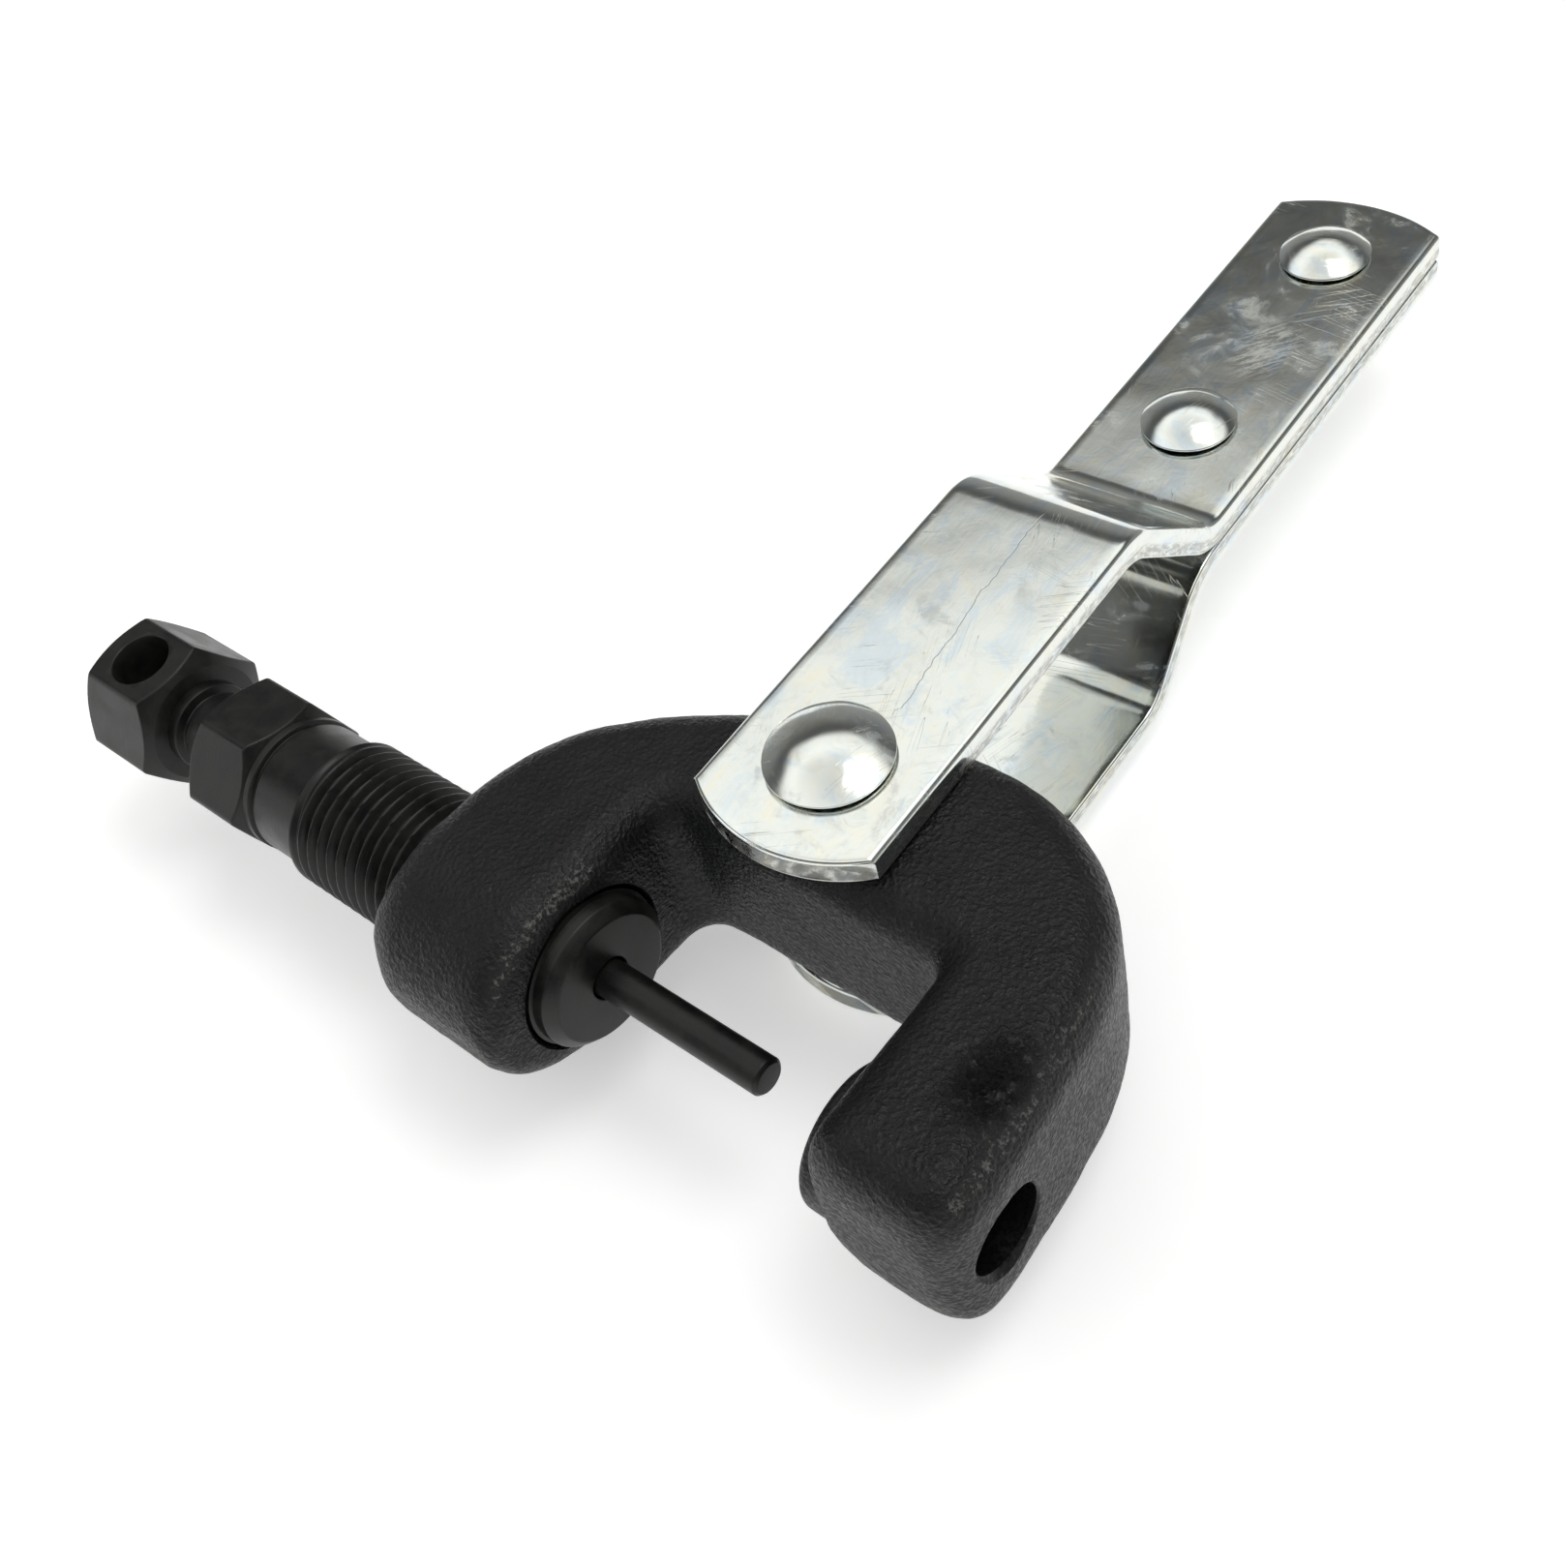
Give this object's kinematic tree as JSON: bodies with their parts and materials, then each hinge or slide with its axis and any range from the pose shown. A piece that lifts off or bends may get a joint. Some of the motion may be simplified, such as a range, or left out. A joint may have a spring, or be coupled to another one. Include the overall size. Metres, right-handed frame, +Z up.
{
  "type": "chain tool",
  "caption": "Roller chain breaker: cast C-frame with an anvil jaw, a hollow pressure screw, an inner drive screw pushing an extractor pin, and a swinging riveted handle of two steel strips.",
  "frame": {"origin": "centre of the bounding box's bottom face, with the tool lying flat and its handle pivot upright", "axes": "+X along the screws from their hex heads towards the anvil jaw, +Y from the throat towards the handle, +Z up along the handle pivot"},
  "size_m": [0.12, 0.1412, 0.0336],
  "materials": {
    "black_cast": "fine grained black coating, satin",
    "black_oxide": "black oxide, satin",
    "zinc_plate": "bright zinc plating with faint mottling",
    "spring_steel": "bare spring wire"
  },
  "bodies": {
    "frame": {"c_frame": "black_cast"},
    "handle": {"upper_handle_plate": "zinc_plate", "lower_handle_plate": "zinc_plate", "pivot_rivet": "zinc_plate", "front_handle_rivet": "zinc_plate", "rear_handle_rivet": "zinc_plate"},
    "screw_feed_body": {"pin_spring": "spring_steel"},
    "pressure": {"pressure_screw": "black_oxide"},
    "pin": {"extractor_pin": "black_oxide"},
    "drive": {"drive_screw": "black_oxide"}
  },
  "joints": [
    {"name": "handle_swing", "type": "hinge", "parent": "frame", "child": "handle", "pos_m": [0.026, -0.03472, 0.0168], "axis": [0, 0, 1], "range_deg": [-108, 87]},
    {"name": "pressure_feed", "type": "slide", "parent": "frame", "child": "screw_feed_body", "axis": [1, 0, 0], "range_m": [-0.0135, 0.024]},
    {"name": "pressure_turn", "type": "hinge", "parent": "screw_feed_body", "child": "pressure", "pos_m": [0, -0.05772, 0.0168], "axis": [1, 0, 0], "range_deg": [-3241, 5761]},
    {"name": "drive_feed", "type": "slide", "parent": "pressure", "child": "pin", "axis": [1, 0, 0], "range_m": [-0.01, 0.0069], "deforming": ["pin_spring"]},
    {"name": "drive_turn", "type": "hinge", "parent": "pin", "child": "drive", "pos_m": [0, -0.05772, 0.0168], "axis": [1, 0, 0], "range_deg": [-2401, 1657]}
  ],
  "couplings": [
    {"joint": "pressure_turn", "follows": "pressure_feed", "rad_per_m": 4188.8},
    {"joint": "drive_turn", "follows": "drive_feed", "rad_per_m": 4188.8}
  ]
}
